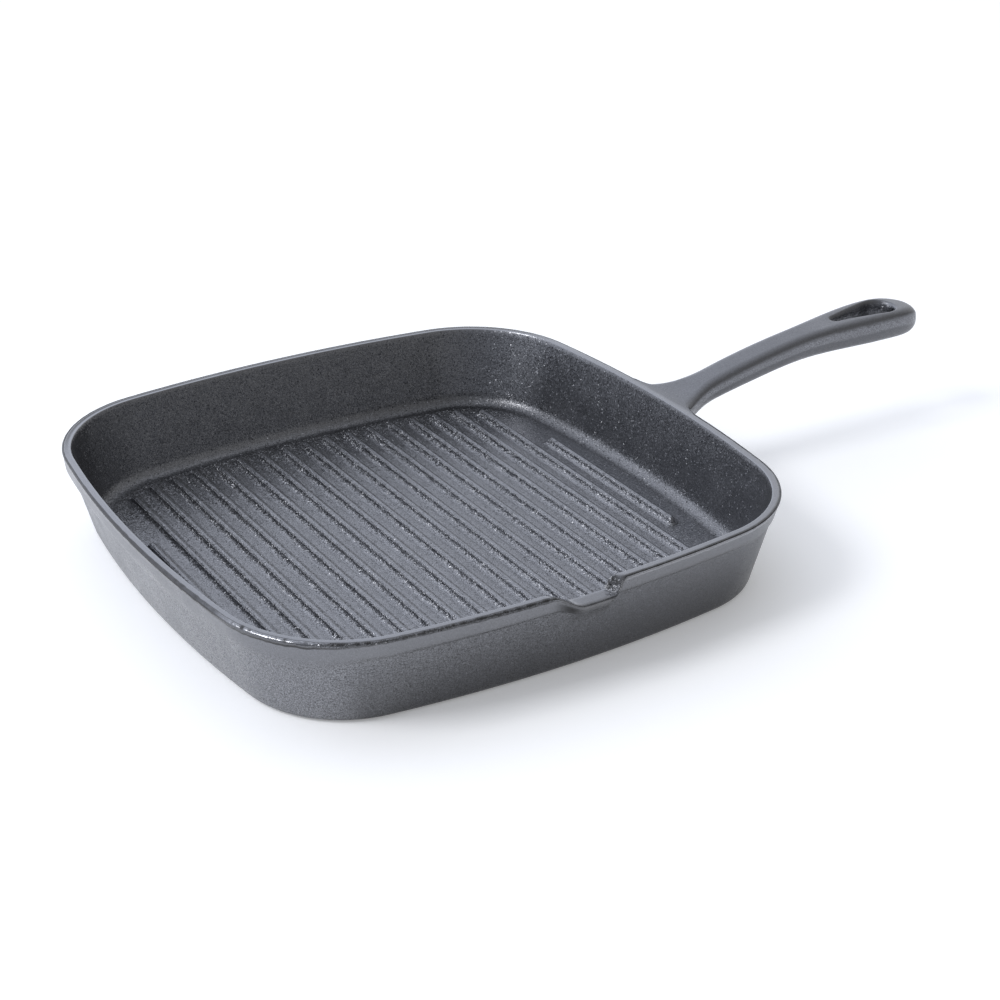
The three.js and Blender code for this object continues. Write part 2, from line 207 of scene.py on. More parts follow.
# Pan body: four bowed sides with round corners, leaning walls, a rim with a smooth band below it.
# Marks are ground with painted light, grit, and scale with painted shade.
pan = {
    "bowRadius": 575, "cornerRadius": 55.6,
    "baseHalf": 118.8, "rimWidth": 3.8, "floorFillet": 6, "baseRound": 4, "rimInnerRound": 0.3,
    "bandHeight": 7, "bandProud": 0.8, "flatMargin": 2,
    "floorGrit": 0.7, "filletGrit": 0.8, "insideGrit": 0.6, "undersideMarks": (0, 0.6, 0.3),
    "landEdgeGround": 0.22, "landEdgeGrit": 0.15,  # inner edge of the rim
    "landGround": 0.21, "landGrit": 0.12, "landScale": 0.08,  # flat top of the rim
    "farFrom": 70, "farTo": 115,  # the far side kept scale on most of its rim, and its floor is rougher
    "farLandFrom": 0.3, "farLandEdgeGround": 0.42, "farFloorGrit": 3.5,
    "scoreWidth": 0.4, "scoreDepth": 0.2, "scoreRows": (0.3, 0.7),  # line scored along the rim
    # the score line's black is partly scale and partly painted shade
    "scoreMean": 0.75, "scoreVary": 0.6, "scoreGrain": 9, "scoreMarks": (0.08, 0.3, 0.9),
    "nickGrain": 2.4, "nickFrom": 0.15, "nickDepth": 4, "sizeWander": 0.3,  # nicks of the broken edge
    "stripGrit": 0.1, "stripFade": 0.15, "bandTopMarks": (0.1, 0.2, 0), "bandMarks": (0.09, 0.2, 0),
    "stepGround": 0.05, "stepGrit": 0.3, "stepGritRise": 1.5, "wallTopPaintedShade": 0.3,
    "plainSteps": 60, "handleSideSteps": 78, "spoutSideSteps": 260, "cornerSteps": 44,
    "filletSteps": 10, "wallSteps": 16, "edgeSteps": 4, "footSteps": 6, "flatRings": 6,
}
# The outer edge of the rim was broken by hand, so it changes round the pan, and so do the painted light and
# shade on it and on the wall. Each row gives
# values by direction in degrees: the handle is at 0, the far side at 90 and the spout at 270.
brokenEdge = {
    # size of the broken edge, scale and painted shade on its upper and lower half, its grit, and its
    # grinding, which is also a painted highlight where the edge glints
    "size": {0: .5, 90: .4, 150: .6, 182: .9, 199: 1.1, 208: 1.2, 214: 1.3, 226: 1.3, 230: 1.1, 234: 1,
             262: 1, 265: .8, 268: .5, 274: .5, 278: .6, 314: .6, 330: .5},
    "upperScaleAndShade": {0: .8, 90: .5, 150: .9, 182: 1, 199: .9, 208: .8, 214: .1, 226: 0, 230: .4, 234: .6,
                   262: .75, 265: .4, 268: .9, 274: .9, 278: 1, 314: 1, 330: .8},
    "lowerScaleAndShade": {0: .8, 90: .5, 150: .9, 182: 1, 208: 1, 214: .6, 226: .6, 230: .5, 234: .6,
                   262: .75, 265: .2, 268: .6, 274: .6, 278: .4, 281: 0, 306: 0, 314: .5, 330: .8},
    "grit": {0: .2, 150: .2, 182: .3, 214: .3, 226: .4, 230: 2, 234: 2, 262: 1.5, 265: .2, 330: .2},
    "groundAndLight": {0: .08, 182: .08, 199: .1, 208: .12, 214: .4, 226: .4, 230: .15, 234: .08, 262: .08,
               265: .2, 268: .12, 278: .12, 281: .3, 306: .3, 314: .12, 330: .08},
    # height of the strip below it, its grinding with a painted highlight on the spout side towards the
    # handle, and its scale with painted shade under the near corner's glint
    "strip": {0: 1, 199: 1, 208: 1.1, 214: 1.2, 226: 1.2, 230: .8, 234: .6, 262: .6, 265: 1.5, 268: 2.2,
              274: 2.2, 278: 1.5, 281: 1, 330: 1},
    "stripGroundAndLight": {0: .1, 150: .1, 182: .3, 199: .3, 208: .1, 214: .08, 226: .08, 230: .1, 262: .1,
                    265: .3, 268: .4, 274: .4, 278: .6, 281: 1, 306: 1, 314: .3, 330: .1},
    "stripScaleAndShade": {0: 0, 150: 0, 182: .1, 199: .3, 208: .8, 214: 1, 226: 1, 230: .6, 234: .1, 262: .1,
                   265: 0, 306: 0, 314: .1, 330: 0},
    # how much of the wall's lean the band has, and the height of the step below the band
    "bandLean": {0: 1, 90: 1, 150: .4, 182: .6, 199: .9, 208: 1, 330: 1},
    "shoulder": {0: 1.5, 90: 1.5, 150: 3, 182: 7, 199: 9, 226: 9, 230: 7, 234: 3, 262: 1.5, 330: 1.5},
    # painted light that makes the wall lighter on the left and round the near corner, the wall's grit, and
    # painted shade that darkens it towards its foot, most on the spout side
    "wallPaintedLight": {0: 0, 150: 0, 182: .15, 208: .15, 214: .16, 226: .16, 230: .12, 234: .08, 262: 0, 330: 0},
    "wallGrit": {0: .5, 90: .5, 150: .6, 182: .7, 199: .9, 208: .9, 214: .95, 230: .95, 234: .85, 262: .8,
                 265: .8, 268: .75, 274: .65, 278: .6, 281: .5, 306: .4, 314: .4, 330: .5},
    "wallPaintedShade": {0: .2, 90: 0, 226: 0, 230: .1, 234: .57, 262: .67, 265: .62, 314: .62, 330: .4},
    # painted shade on the inside of the wall towards the handle, and in the fillet at its foot, where it
    # dims the glint in the corner next to the handle
    "insidePaintedShade": {0: .4, 30: .34, 45: 0, 306: 0, 314: .2, 330: .4},
    "filletPaintedShade": {0: .25, 45: .5, 90: .1, 150: 0, 306: 0, 314: .12, 330: .25},
}
# Spout: the rim dips and bulges out, with a long slope on its free side and a short one towards the handle.
spout = {
    "middle": 3.1, "floorWidth": 13, "freeFlank": 14, "handleFlank": 4.8, "outerFlank": 2.6, "skew": 2.0,
    "dip": 4.9, "fall": 0.8, "bulge": 2.45, "reach": 16, "taper": 0.4,
    # rough cast scar on the short slope, strongest at the rim, and none where black scale or painted shade
    # lies
    "scarFrom": 9.5, "scarTo": 17, "scarFadeIn": 2, "scarFadeOut": 3, "scarPower": 6, "scarMostScale": 0.5,
    "scarGrain": 1.3, "scarDepth": 0.12, "scarSink": 0.5, "scarGrit": 1.5, "pitMean": 0.4, "pitVary": 1.2,
    # painted shade in the hollow below the rim before the lip, and where it starts and ends on the way up
    "paintedShadeFrom": -20, "paintedShadeMiddle": -11, "paintedShadeTo": -5,
    "paintedShadeStart": (0.45, 0.6), "paintedShadeEnd": (0.75, 0.9),
}
bowCentre = pan["bowRadius"] - rimHalf
cornerReach = pan["bowRadius"] - pan["cornerRadius"]
cornerCentre = (math.sqrt(2 * cornerReach ** 2 - bowCentre ** 2) - bowCentre) / 2
sideTurn = math.atan2(cornerCentre, cornerCentre + bowCentre)  # half the angle that a side's arc spans
lean = (rimHalf - pan["bandProud"] - pan["baseHalf"]) / panHeight
slant = math.hypot(1, lean)
wallTurn = math.atan2(-lean, 1)


def quarterStations(turn, steps):
    # one side and its two half corners, as centre, radius and direction; turn 0 is the handle's side
    corner = pan["cornerRadius"]
    before = np.linspace(-math.pi / 4, -sideTurn, pan["cornerSteps"] + 1)[:-1]
    after = np.linspace(sideTurn, math.pi / 4, pan["cornerSteps"] + 1)[1:-1]
    rows = [(cornerCentre, -cornerCentre, corner, a) for a in before]
    rows += [(-bowCentre, 0, pan["bowRadius"], a) for a in np.linspace(-sideTurn, sideTurn, steps + 1)]
    rows += [(cornerCentre, cornerCentre, corner, a) for a in after]
    c, s = round(math.cos(turn * math.pi / 2)), round(math.sin(turn * math.pi / 2))
    return [(c * x - s * y, s * x + c * y, r, a + turn * math.pi / 2) for x, y, r, a in rows]


sideSteps = [pan["handleSideSteps"], pan["plainSteps"], pan["plainSteps"], pan["spoutSideSteps"]]
stations = np.array([row for turn in range(4) for row in quarterStations(turn, sideSteps[turn])])
centreX, centreY, stationRadius, stationAngle = stations.T
rimX = centreX + stationRadius * np.cos(stationAngle)
rimY = centreY + stationRadius * np.sin(stationAngle)
stationCount = len(stations)
onSpoutSide = rimY < -rimHalf / 2
farShare = smoothstep(rimY, pan["farFrom"], pan["farTo"])
stationTurn = np.degrees(np.arctan2(rimY, rimX)) % 360
edgeAt = {name: np.interp(stationTurn, list(row), list(row.values()), period=360)
          for name, row in brokenEdge.items()}


def spoutShare(away, outer):
    flank = np.where(away < 0, spout["freeFlank"], spout["handleFlank"] + spout["outerFlank"] * outer)
    return 1 - smoothstep((np.abs(away) - spout["floorWidth"] / 2) / flank, 0, 1)


def outerAt(z):
    return -pan["bandProud"] - lean * (panHeight - z)


def bandAt(z, share):
    return -share * lean * (panHeight - z)


def innerAt(z):
    return -pan["rimWidth"] - lean * (panHeight - z)


def wallSection(station, score, nick):
    # from the edge of the floor up the inside, over the rim and down the outside to the underside
    # each row is offset from the rim's outline, height, share of the outer side, ground, grit and scale
    rows = []

    def arc(offset, height, radius, start, end, steps, marks, skip=0):
        for a in np.linspace(start, end, steps + 1)[skip:]:
            rows.append((offset + radius * math.cos(a), height + radius * math.sin(a), *marks))

    def run(end, steps, marks):
        start = rows[-1]
        for t in np.linspace(0, 1, steps + 1)[1:]:
            rows.append((mix(start[0], end[0], t), mix(start[1], end[1], t), *marks))

    zone = {name: values[station] for name, values in edgeAt.items()}
    far = farShare[station]
    fillet, innerRound, baseRound = pan["floorFillet"], pan["rimInnerRound"], pan["baseRound"]
    few, many = pan["edgeSteps"], pan["wallSteps"]

    # floor and inside of the wall
    floorEdge = innerAt(floorTop) + fillet * (lean - slant)
    floorGrit = mix(pan["floorGrit"], pan["farFloorGrit"], far)
    rows.append((floorEdge - pan["flatMargin"], floorTop, 0, 0, floorGrit, 0))
    # the fillet and the inside of the wall carry painted shade
    arc(floorEdge, floorTop + fillet, fillet, -math.pi / 2, wallTurn, pan["filletSteps"],
        (0, 0, pan["filletGrit"], zone["filletPaintedShade"]))
    landEdge = panHeight - innerRound
    run((innerAt(landEdge), landEdge), many, (0, 0, pan["insideGrit"], zone["insidePaintedShade"]))

    # land of the rim with its scored line
    edge = zone["size"] * (1 + pan["sizeWander"] * nick)
    landStart, landEnd = innerAt(panHeight) + innerRound, -edge - pan["scoreWidth"]
    edgeGround = mix(pan["landEdgeGround"], pan["farLandEdgeGround"], far)
    arc(landStart, landEdge, innerRound, math.pi, math.pi / 2, few,
        (0, edgeGround, pan["landEdgeGrit"], 0), skip=1)
    for t in np.linspace(0, 1, few + 1)[1:]:
        scaleAndShade = max(pan["landScale"], far if t > pan["farLandFrom"] else 0)
        rows.append((mix(landStart, landEnd, t), panHeight, t, pan["landGround"], pan["landGrit"], scaleAndShade))
    landRow = len(rows) - 3  # row that the top of the handle grows out of
    for t in pan["scoreRows"]:
        rows.append((-edge - pan["scoreWidth"] * (1 - t), panHeight - score, 1, *pan["scoreMarks"]))

    # broken edge, where scale is left in its nicks and painted shade darkens its rounding, and the strip
    # below it with its painted highlight and shade
    black = max(0, pan["nickDepth"] * (nick - pan["nickFrom"]))
    middleTurn = (math.pi / 2 + wallTurn) / 2
    upperMarks = zone["groundAndLight"], zone["grit"], min(1, zone["upperScaleAndShade"] + black)
    lowerMarks = zone["groundAndLight"], zone["grit"], zone["lowerScaleAndShade"]
    arc(-edge, panHeight - edge, edge, math.pi / 2, middleTurn, few, (1, *upperMarks))
    arc(-edge, panHeight - edge, edge, middleTurn, wallTurn, few, (1, *lowerMarks), skip=1)
    stripTop, fade = rows[-1][1], pan["stripFade"]
    stripMarks = zone["stripGroundAndLight"], pan["stripGrit"], zone["stripScaleAndShade"]
    for t, marks in ((fade, stripMarks), (1 - fade, stripMarks), (1 + fade, pan["bandTopMarks"])):
        z = stripTop - zone["strip"] * t
        rows.append((bandAt(z, zone["bandLean"]), z, 1, *marks))

    # band, the step below it, outside of the wall and underside
    bandFoot = panHeight - pan["bandHeight"]
    run((bandAt(bandFoot, zone["bandLean"]), bandFoot), few, (1, *pan["bandMarks"]))
    wallTop = bandFoot - zone["shoulder"]
    for t in np.linspace(0, 1, few + 1)[1:]:
        z = mix(bandFoot, wallTop, t)
        offset = mix(bandAt(z, zone["bandLean"]), outerAt(z), float(smoothstep(t, 0, 1)))
        # the step blends into the wall's painted light
        groundAndLight = mix(pan["stepGround"], zone["wallPaintedLight"], t)
        grit = mix(pan["stepGrit"], zone["wallGrit"], min(1, pan["stepGritRise"] * t))
        rows.append((offset, z, 1, groundAndLight, grit, 0))
    baseTop = baseRound + baseRound * math.sin(wallTurn)
    for t in np.linspace(0, 1, many + 1)[1:]:
        z = mix(wallTop, baseTop, t)
        # painted shade on the wall, darker towards its foot
        scaleAndShade = zone["wallPaintedShade"] * mix(pan["wallTopPaintedShade"], 1, t)
        rows.append((outerAt(z), z, 1, zone["wallPaintedLight"], zone["wallGrit"], scaleAndShade))
    footEdge = outerAt(0) + baseRound * (lean - slant)
    arc(footEdge, baseRound, baseRound, wallTurn, -math.pi / 2, pan["footSteps"],
        (1, 0, zone["wallGrit"], zone["wallPaintedShade"]), skip=1)
    rows.append((rows[-1][0] - pan["flatMargin"], 0, 1, *pan["undersideMarks"]))
    return np.array(rows), landRow


section, landRow = wallSection(0, pan["scoreDepth"], 0)
rowCount = len(section)


def bodyPoints():
    along = np.stack([rimX, rimY, np.zeros(stationCount)], 1)
    scores = grain(along, pan["scoreGrain"], seed=5)
    scores = pan["scoreDepth"] * (pan["scoreMean"] + pan["scoreVary"] * scores)
    nicks = grain(along, pan["nickGrain"], seed=8)
    sections = np.stack([wallSection(i, scores[i], nicks[i])[0] for i in range(stationCount)])
    offset, height, outer, groundAndLight, grit, scaleAndShade = np.moveaxis(sections, -1, 0)

    # the spout draws the wall down and out
    rise = np.clip(1 - (panHeight - height) / spout["reach"], 0, None)
    away = rimX[:, None] - spout["skew"] * outer - spout["middle"]
    share = spoutShare(away * (1 + spout["taper"] * outer * (1 - rise)), outer) * onSpoutSide[:, None]
    offset = offset + share * spout["bulge"] * outer * smoothstep(rise, 0, 1)
    height = height - share * (spout["dip"] + spout["fall"] * outer) * rise
    radius = stationRadius[:, None] + offset
    x = centreX[:, None] + radius * np.cos(stationAngle)[:, None]
    y = centreY[:, None] + radius * np.sin(stationAngle)[:, None]
    points = np.stack([x, y, height], -1)

    scar = smoothstep(rimX, spout["scarFrom"], spout["scarFrom"] + spout["scarFadeIn"])
    scar = scar * (1 - smoothstep(rimX, spout["scarTo"] - spout["scarFadeOut"], spout["scarTo"]))
    scar = (scar * onSpoutSide)[:, None] * rise ** spout["scarPower"] * (scaleAndShade < spout["scarMostScale"])
    lumps = grain(points.reshape(-1, 3), spout["scarGrain"], seed=3).reshape(scar.shape)
    points[..., 2] -= spout["scarDepth"] * scar * (spout["scarSink"] + lumps)
    pits = scar * np.clip(spout["pitMean"] + spout["pitVary"] * lumps, 0, 1)

    # painted shade in the hollow under the lip's free side
    paintedShade = smoothstep(away, spout["paintedShadeFrom"], spout["paintedShadeMiddle"])
    paintedShade = paintedShade * (1 - smoothstep(away, spout["paintedShadeMiddle"], spout["paintedShadeTo"])) * onSpoutSide[:, None]
    paintedShade = paintedShade * outer * smoothstep(rise, *spout["paintedShadeStart"])
    paintedShade = paintedShade * (1 - smoothstep(rise, *spout["paintedShadeEnd"]))
    scaleAndShade = np.maximum(scaleAndShade, np.maximum(pits, paintedShade))
    return points, np.stack([groundAndLight * (1 - scar), grit + spout["scarGrit"] * scar, scaleAndShade], -1)


# Handle: an upper and a lower sheet over one plan, which meet at the parting line and round the eye.
handle = {
    "crestRun": 124, "riseRun": 6.4, "riseBlend": 7, "rootRun": 3.5, "shankRun": 90,  # along it from the rim
    "shankHalf": 8, "loopHalf": 12.2, "loopSwell": 54,
    "flare": 10.8, "flareRun": 26, "flareMost": 1.2,  # the root widens by this much over this run
    "rootDepth": 10.8, "shankDepth": 12.2, "depthRun": 55,
    "loopDepth": 14.2, "depthSwellFrom": 66, "depthSwellTo": 6,
    "rootParting": 4.0, "loopParting": 5.2, "tipParting": 9.5,
    "topRound": 4.4, "roundDepth": 3.1, "tipRound": 12, "sideRun": 0.5, "lowRound": 5.4, "tipLowRound": 6.5,
    "eyeBar": 4.8, "endBar": 14.2, "eyeLength": 35.5, "eyeNarrow": 2.3, "eyeRound": 1.3, "eyeLowRound": 1,
    "tipFullness": 2.2, "tipFall": 3, "droop": 1.8, "droopRun": 116, "droopPower": 3,
    "rootHalf": 24.5, "rootBottom": 25, "rootSpread": 3, "rootMarkRise": 4,  # opening in the wall
    # the lower side is darker than the top, as painted shade
    "topMarks": (0, 0.25, 0.25), "lowMarks": (0, 0.35, 0.5),  # satin top and a rougher lower side
    "flashMarks": (0.06, 0.75, 0.15), "flashFull": 0.045, "flashReach": 0.15,  # where the mould's halves met
    "eyeMarks": (0, 0.8, 0.1), "eyeMarkRows": 2,
    "outlineInset": 4, "outlineSteps": 140, "tipOutlineSteps": 60, "eyeSteps": 120, "eyeNarrowSteps": 240,
    "rootRings": 10, "shankRings": 46, "eyeRings": 16, "tipSteps": 44,
}
crestX = rimHalf + handle["crestRun"]
riseX = rimHalf + handle["riseRun"]
rootEndX = rimHalf + handle["rootRun"]
shankEndX = rimHalf + handle["shankRun"]
droopX = rimHalf + handle["droopRun"]
eyeWide = handle["loopHalf"] - handle["eyeBar"]
eyeEnd = handleTip - handle["endBar"]
eyeWideX = eyeEnd - eyeWide
eyeNarrowX = eyeEnd - handle["eyeLength"] + handle["eyeNarrow"]
tipReach = handleTip - eyeWideX


def topHeight(x):
    # level with the rim at the root, then a rising arc that droops again towards the tip
    rise, run, blend = handleCrest - panHeight, crestX - riseX, handle["riseBlend"]
    arch = rise * (1 - ((crestX - x) / run) ** 2)
    t = np.clip((x - riseX + blend) / (2 * blend), 0, 1)
    climb = rise * (1 - ((run - blend) / run) ** 2)
    slope = 2 * rise * (run - blend) / run ** 2
    root = climb * (3 * t ** 2 - 2 * t ** 3) + 2 * blend * slope * (t ** 3 - t ** 2)
    end = np.clip((x - droopX) / (handleTip - droopX), 0, 1)
    return panHeight + np.where(t < 1, root, arch) - handle["droop"] * end ** handle["droopPower"]


def halfWidth(x):
    swell = smoothstep(x, eyeWideX - handle["loopSwell"], eyeWideX)
    flare = np.clip(1 - (x - rimHalf) / handle["flareRun"], 0, handle["flareMost"])
    shank = mix(handle["shankHalf"], handle["loopHalf"], swell) + handle["flare"] * flare ** 2
    end = np.clip((x - eyeWideX) / tipReach, 0, 1)
    full = handle["tipFullness"]
    return shank * (1 - end ** full) ** (1 / full)


def nearestOn(points, line):
    # nearest spot of a line of short steps to each point, and how far it is
    start, step = line[:-1], np.diff(line, axis=0)
    length = np.maximum((step ** 2).sum(1), 1e-12)
    t = np.clip(((points[:, None] - start) * step).sum(2) / length, 0, 1)
    spots = start + t[..., None] * step
    away = np.sqrt(((points[:, None] - spots) ** 2).sum(2))
    best = away.argmin(1)
    rows = np.arange(len(points))
    return spots[rows, best], away[rows, best]


def circle(x, radius, start, end, steps):
    a = np.linspace(start, end, steps)
    return np.stack([x + radius * np.cos(a), radius * np.sin(a)], 1)


def mirrored(halfLine):
    return np.concatenate([halfLine, (halfLine * [1, -1])[::-1][1:]])


shankX = np.linspace(rimHalf - handle["outlineInset"], eyeWideX, handle["outlineSteps"])
tipX = eyeWideX + tipReach * np.sin(np.linspace(0, math.pi / 2, handle["tipOutlineSteps"])[1:])
outlineX = np.concatenate([shankX, tipX])
outline = mirrored(np.stack([outlineX, halfWidth(outlineX)], 1))
eyeTangent = math.pi - math.acos((eyeWide - handle["eyeNarrow"]) / (eyeWideX - eyeNarrowX))
eyeLine = mirrored(np.concatenate([
    circle(eyeWideX, eyeWide, 0, eyeTangent, handle["eyeSteps"]),
    circle(eyeNarrowX, handle["eyeNarrow"], eyeTangent, math.pi, handle["eyeNarrowSteps"])]))


def quarterRound(t):
    return np.sqrt(1 - (1 - np.clip(t, 0, 1)) ** 2)


def handleHeights(plan):
    x = plan[:, 0]
    toEdge = nearestOn(plan, outline)[1]
    toEye = nearestOn(plan, eyeLine)[1]
    swell = smoothstep(x, eyeWideX - handle["depthSwellFrom"], eyeWideX - handle["depthSwellTo"])
    rooted = smoothstep(x, rimHalf, rimHalf + handle["depthRun"])
    fall = 1 - np.sqrt(1 - np.clip((x - eyeWideX) / tipReach, 0, 1) ** handle["tipFall"])
    depth = mix(handle["rootDepth"], handle["shankDepth"], rooted)
    depth = depth + (handle["loopDepth"] - handle["shankDepth"]) * swell
    run = np.clip((x - rimHalf) / handle["crestRun"], 0, 1)
    parting = mix(handle["rootParting"], handle["loopParting"], run)
    parting = mix(parting, handle["tipParting"], fall)
    topRound = mix(handle["topRound"], handle["tipRound"], fall)
    roundDepth = mix(handle["roundDepth"], parting, fall)
    lowRound = mix(handle["lowRound"], handle["tipLowRound"], fall)
    middle = topHeight(x) - parting
    side = (parting - roundDepth) * quarterRound(toEdge / handle["sideRun"])
    above = (side + roundDepth * quarterRound(toEdge / topRound)) * quarterRound(toEye / handle["eyeRound"])
    below = quarterRound(toEdge / lowRound) * quarterRound(toEye / handle["eyeLowRound"])
    return middle + above, middle - (depth - parting) * below, toEdge


def handleMarks(toEdge, side):
    flash = 1 - smoothstep(toEdge, handle["flashFull"], handle["flashReach"])
    return mix(np.array(handle[side]), np.array(handle["flashMarks"]), flash)


# The opening that the handle grows out of, from the middle of its +Y side over the top and back below
rootMiddle = pan["cornerSteps"] + pan["handleSideSteps"] // 2
rootWide = int(round(handle["rootHalf"] / (rimY[rootMiddle + 1] - rimY[rootMiddle])))
rootFirst, rootLast = rootMiddle - rootWide, rootMiddle + rootWide
rootRows = int(np.argmin(np.abs(section[landRow:, 1] - handle["rootBottom"])))
rootRows += rootRows % 2
bottomRow, midRow = landRow + rootRows, landRow + rootRows // 2
rootLoop = [(rootLast, k) for k in range(midRow, landRow, -1)]
rootLoop += [(i, landRow) for i in range(rootLast, rootFirst, -1)]
rootLoop += [(rootFirst, k) for k in range(landRow, bottomRow)]
rootLoop += [(i, bottomRow) for i in range(rootFirst, rootLast)]
rootLoop += [(rootLast, k) for k in range(bottomRow, midRow, -1)]
ringCount = len(rootLoop)
ringHalf = ringCount // 2
ringTurns = math.pi * np.arange(ringCount) / ringHalf

castPoints, castMarks, castFaces = [], [], []


def addPoint(point, mark):
    castPoints.append(tuple(point))
    castMarks.append(tuple(mark))
    return len(castPoints) - 1


def bodyPoint(station, row):
    return (station % stationCount) * rowCount + row


def castBody():
    points, marks = bodyPoints()
    for point, mark in zip(points.reshape(-1, 3), marks.reshape(-1, 3)):
        addPoint(point, mark)
    for i in range(stationCount):
        for k in range(rowCount - 1):
            if not (rootFirst <= i < rootLast and landRow <= k < bottomRow):
                corners = (i, k), (i + 1, k), (i + 1, k + 1), (i, k + 1)
                castFaces.append([bodyPoint(*corner) for corner in corners])
    for row in (0, rowCount - 1):  # floor of the pan and its underside, as rings that shrink to the middle
        ring = [bodyPoint(i, row) for i in range(stationCount)]
        edge, mark = [castPoints[v] for v in ring], castMarks[ring[0]]
        for share in np.linspace(1, 0, pan["flatRings"] + 1)[1:-1]:
            made = [addPoint((x * share, y * share, z), mark) for x, y, z in edge]
            castFaces.extend((ring[i - 1], ring[i], made[i], made[i - 1]) for i in range(stationCount))
            ring = made
        hub = addPoint((0, 0, edge[0][2]), mark)
        castFaces.extend((ring[i - 1], ring[i], hub) for i in range(stationCount))


def handleRing(x):
    plan = np.stack([np.full(ringCount, x), halfWidth(x) * np.cos(ringTurns)], 1)
    upper, lower, toEdge = handleHeights(plan)
    sides = ["topMarks" if j <= ringHalf else "lowMarks" for j in range(ringCount)]
    z = np.where(np.arange(ringCount) <= ringHalf, upper, lower)
    return np.column_stack([plan, z]), np.array([handleMarks(d, side) for d, side in zip(toEdge, sides)])


def castShank():
    # leaves the wall along its surface, narrows to the shank, and returns the last ring before the loop
    ring = [bodyPoint(i, k) for i, k in rootLoop]
    start, startMarks = (np.array([values[v] for v in ring]) for values in (castPoints, castMarks))
    target, targetMarks = handleRing(rootEndX)
    arrive = unit(handleRing(rootEndX + 1)[0] - target)
    leave = []
    for i, k in rootLoop:
        u = (i - rootMiddle) / rootWide
        v = 2 * (k - landRow) / rootRows - 1
        along = np.subtract(castPoints[bodyPoint(i + 1, k)], castPoints[bodyPoint(i - 1, k)])
        down = np.subtract(castPoints[bodyPoint(i, k + 1)], castPoints[bodyPoint(i, k - 1)])
        leave.append(unit(-u ** handle["rootSpread"] * unit(along) - v ** handle["rootSpread"] * unit(down)))
    span = np.linalg.norm(target - start, axis=1, keepdims=True)
    rings = [ring]
    for t in np.linspace(0, 1, handle["rootRings"] + 1)[1:]:
        place = ((2 * t ** 3 - 3 * t ** 2 + 1) * start + (t ** 3 - 2 * t ** 2 + t) * np.array(leave) * span
                 + (3 * t ** 2 - 2 * t ** 3) * target + (t ** 3 - t ** 2) * arrive * span)
        marks = mix(startMarks, targetMarks, min(1, handle["rootMarkRise"] * t))
        rings.append([addPoint(point, mark) for point, mark in zip(place, marks)])
    for x in np.linspace(rootEndX, shankEndX, handle["shankRings"] + 1)[1:]:
        rings.append([addPoint(point, mark) for point, mark in zip(*handleRing(x))])
    for a, b in zip(rings[:-1], rings[1:]):
        for j in range(ringCount):
            n = (j + 1) % ringCount
            castFaces.append((a[j], a[n], b[n], b[j]))
    return rings[-1]


def castLoop(shank):
    # lines run from the eye out to the edge of the handle, or to the last ring of the shank
    tipSteps, rungs = handle["tipSteps"], handle["eyeRings"]
    sideX = np.concatenate([
        np.linspace(shankEndX, eyeWideX, tipSteps // 2, endpoint=False),
        eyeWideX + tipReach * np.sin(np.linspace(0, math.pi / 2, tipSteps + 1))])
    around = mirrored(np.stack([sideX, -halfWidth(sideX)], 1))[1:-1]
    columns = np.stack([
        np.full(ringHalf + 1, shankEndX), halfWidth(shankEndX) * np.cos(ringTurns[:ringHalf + 1])], 1)
    outer = np.concatenate([columns, around])
    inner = nearestOn(outer, eyeLine)[0]
    shares = 0.5 - 0.5 * np.cos(np.pi * np.linspace(0, 1, rungs + 1))
    upperGrid, lowerGrid = [], []
    for s in range(len(outer)):
        plan = mix(inner[s], outer[s], shares[:, None])
        upper, lower, toEdge = handleHeights(plan)
        up, low = [], []
        for r in range(rungs + 1):
            topMark, lowMark = handleMarks(toEdge[r], "topMarks"), handleMarks(toEdge[r], "lowMarks")
            if r == rungs and s <= ringHalf:
                up.append(shank[s])
                low.append(shank[(ringCount - s) % ringCount])
            elif r in (0, rungs):  # the sheets meet
                up.append(addPoint((*plan[r], upper[r]), lowMark if r else handle["eyeMarks"]))
                low.append(up[-1])
            else:
                topMark = topMark if r > handle["eyeMarkRows"] else handle["eyeMarks"]
                up.append(addPoint((*plan[r], upper[r]), topMark))
                low.append(addPoint((*plan[r], lower[r]), lowMark))
        upperGrid.append(up)
        lowerGrid.append(low)
    for s in range(len(outer)):
        n = (s + 1) % len(outer)
        for r in range(rungs):
            castFaces.append((upperGrid[s][r], upperGrid[n][r], upperGrid[n][r + 1], upperGrid[s][r + 1]))
            castFaces.append((lowerGrid[s][r], lowerGrid[s][r + 1], lowerGrid[n][r + 1], lowerGrid[n][r]))


castBody()
castLoop(castShank())
casting = addPiece("panCasting", castPoints, castFaces, castMarks, iron)
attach(casting, "root")
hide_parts("base_plate", "wall_left", "wall_far", "wall_handle", "wall_spout",
            "handle", "hanging_loop")
print("casting:", len(casting.data.polygons), "faces")

# Grill ribs: flat smooth crests, steep sandy flanks and hollow feet that run out into the floor.
rib = {
    "crestHalf": 1.2, "crestRound": 0.7, "crestDome": 0.2, "draft": 0.5, "footFillet": 2.3,
    "footLip": 0.3, "lipSink": 0.15, "sink": 0.3,
    "longFrom": 65, "nearSlope": 3.2, "farSlope": 4.5, "farShort": 2, "endShare": 0.02,  # ends of the ribs
    "flankGrain": 0.8, "flankRelief": 0.18, "upRelief": 0.5,
    "crestGrit": 0.45, "edgeGrit": 0.9, "flankGrit": 2.6, "footGrit": 0.7,
    "step": 0.6, "crestSteps": 3, "edgeSteps": 4, "flankSteps": 3, "footSteps": 7,
}


